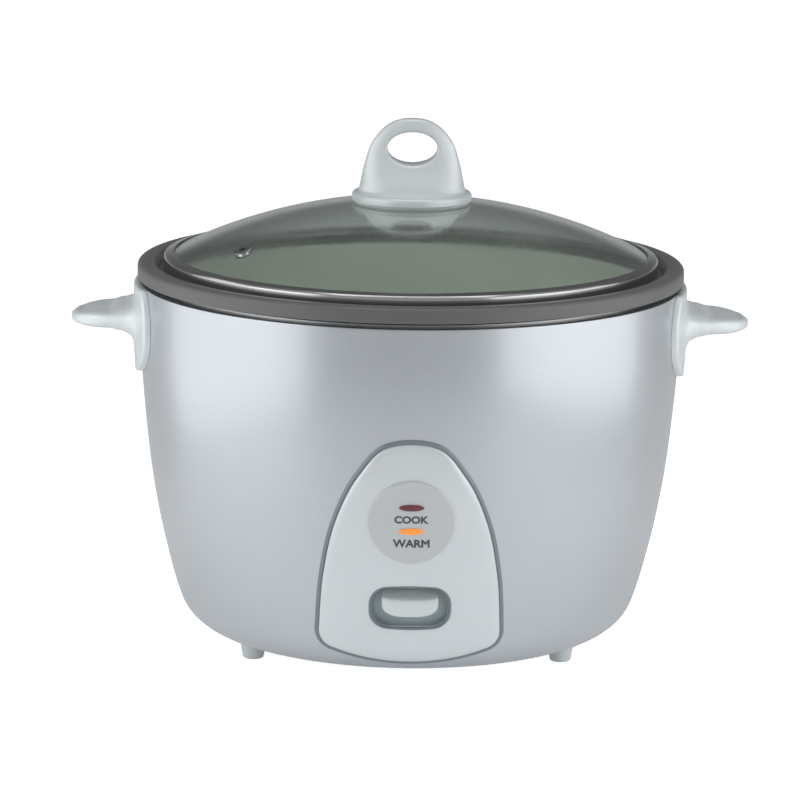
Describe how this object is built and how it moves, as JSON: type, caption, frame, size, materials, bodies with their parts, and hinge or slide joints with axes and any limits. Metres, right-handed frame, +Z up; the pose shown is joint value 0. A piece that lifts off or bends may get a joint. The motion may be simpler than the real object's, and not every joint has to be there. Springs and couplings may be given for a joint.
{
  "type": "rice cooker",
  "caption": "Round drop-in rice cooker with a tapered silver body, two side ears, an arched front panel with a cook lever, and a domed glass lid with a loop knob.",
  "frame": {"origin": "on the floor under the centre of the round body", "axes": "+Z up, front panel towards -Y, +X to the right seen from the front, through the right handle"},
  "size_m": [0.3568, 0.2871, 0.2793],
  "materials": {
    "body_paint": "metallic silver paint, satin gloss",
    "liner_aluminium": "rolled sheet, satin",
    "cast_aluminium": "cast, turned face",
    "pan_coating": "dark non-stick coating on drawn aluminium",
    "white_plastic": "moulded, soft gloss",
    "grey_plastic": "moulded, satin",
    "dark_plastic": "moulded, heat resistant",
    "disc_silver": "printed silver film, satin",
    "bead_grey": "satin silver grey",
    "lens_red": "clear tinted lens",
    "lens_amber": "clear tinted lens, lit",
    "lamp_glass": "small neon lamps",
    "lid_glass": "toughened clear glass, slight grey-green tint",
    "stainless": "polished rolled strip",
    "screw_steel": "zinc plated",
    "spring_steel": "drawn wire",
    "plated_steel": "stamped zinc plated sheet",
    "brass": "stamped brass",
    "ferrite": "sintered",
    "element_sheath": "oxidised tube",
    "silicone": "translucent silicone",
    "foot_rubber": "pale moulded rubber",
    "mica_band": "mica and foil heater band"
  },
  "bodies": {
    "housing": {"outer_body": "body_paint", "inner_liner": "liner_aluminium", "base_plate": "white_plastic", "foot_front_right": "foot_rubber", "foot_front_left": "foot_rubber", "foot_rear": "foot_rubber", "base_posts": "plated_steel", "base_screws": "screw_steel", "front_panel": "white_plastic", "panel_bead": "bead_grey", "panel_screws": "screw_steel", "indicator_disc": "disc_silver", "cook_lamp_lens": "lens_red", "warm_lamp_lens": "lens_amber", "lamp_holder": "dark_plastic", "indicator_lamps": "lamp_glass", "right_handle": "white_plastic", "left_handle": "white_plastic", "handle_screws": "screw_steel", "heating_plate": "cast_aluminium", "heating_element": "element_sheath", "heater_legs": "plated_steel", "heater_screws": "screw_steel", "heat_shield": "plated_steel", "keep_warm_band": "mica_band", "thermal_fuse": "brass", "fuse_clip": "plated_steel", "terminal_block": "dark_plastic", "thermostat_tube": "plated_steel", "lever_bracket": "plated_steel", "pivot_pin": "screw_steel", "switch_body": "dark_plastic", "inlet_housing": "dark_plastic", "inlet_blades": "brass", "inlet_screws": "screw_steel"},
    "lever": {"lever_arm": "plated_steel", "button_shield": "grey_plastic", "lever_button": "white_plastic", "lever_spring": "spring_steel"},
    "magnet_carrier": {"magnet": "ferrite", "magnet_rod": "plated_steel"},
    "plunger": {"switch_plunger": "white_plastic"},
    "thermostat": {"sensor_cup": "cast_aluminium", "sensor_ferrite": "ferrite", "sensor_spring": "spring_steel"},
    "pan": {"inner_pan": "pan_coating"},
    "lid": {"glass_lid": "lid_glass", "lid_band": "stainless", "knob_gasket": "silicone", "lid_knob": "white_plastic", "knob_washer": "screw_steel", "knob_screw": "screw_steel", "vent_grommet": "stainless"}
  },
  "joints": [
    {"name": "pan_lift", "type": "slide", "parent": "housing", "child": "pan", "axis": [0, 0, 1], "range_m": [0, 0.15]},
    {"name": "lid_lift", "type": "slide", "parent": "pan", "child": "lid", "axis": [0, 0, 1], "range_m": [0, 0.08]},
    {"name": "lever_press", "type": "hinge", "parent": "housing", "child": "lever", "pos_m": [0, -0.08, 0.034], "axis": [1, 0, 0], "range_deg": [0, 5], "stiffness_Nm_per_rad": 0.5, "springref_deg": -8.59, "deforming": ["lever_spring"]},
    {"name": "magnet_lift", "type": "slide", "parent": "housing", "child": "magnet_carrier", "axis": [0, 0, 1], "range_m": [0, 0.00705]},
    {"name": "plunger_lift", "type": "slide", "parent": "housing", "child": "plunger", "axis": [0, 0, 1], "range_m": [0, 0.0018]},
    {"name": "thermostat_press", "type": "slide", "parent": "housing", "child": "thermostat", "axis": [0, 0, 1], "range_m": [-0.001, 0], "stiffness_N_per_m": 900, "deforming": ["sensor_spring"]}
  ],
  "couplings": [
    {"joint": "magnet_lift", "follows": "lever_press", "m_per_rad": 0.0799},
    {"joint": "plunger_lift", "follows": "lever_press", "m_per_rad": 0.02}
  ]
}
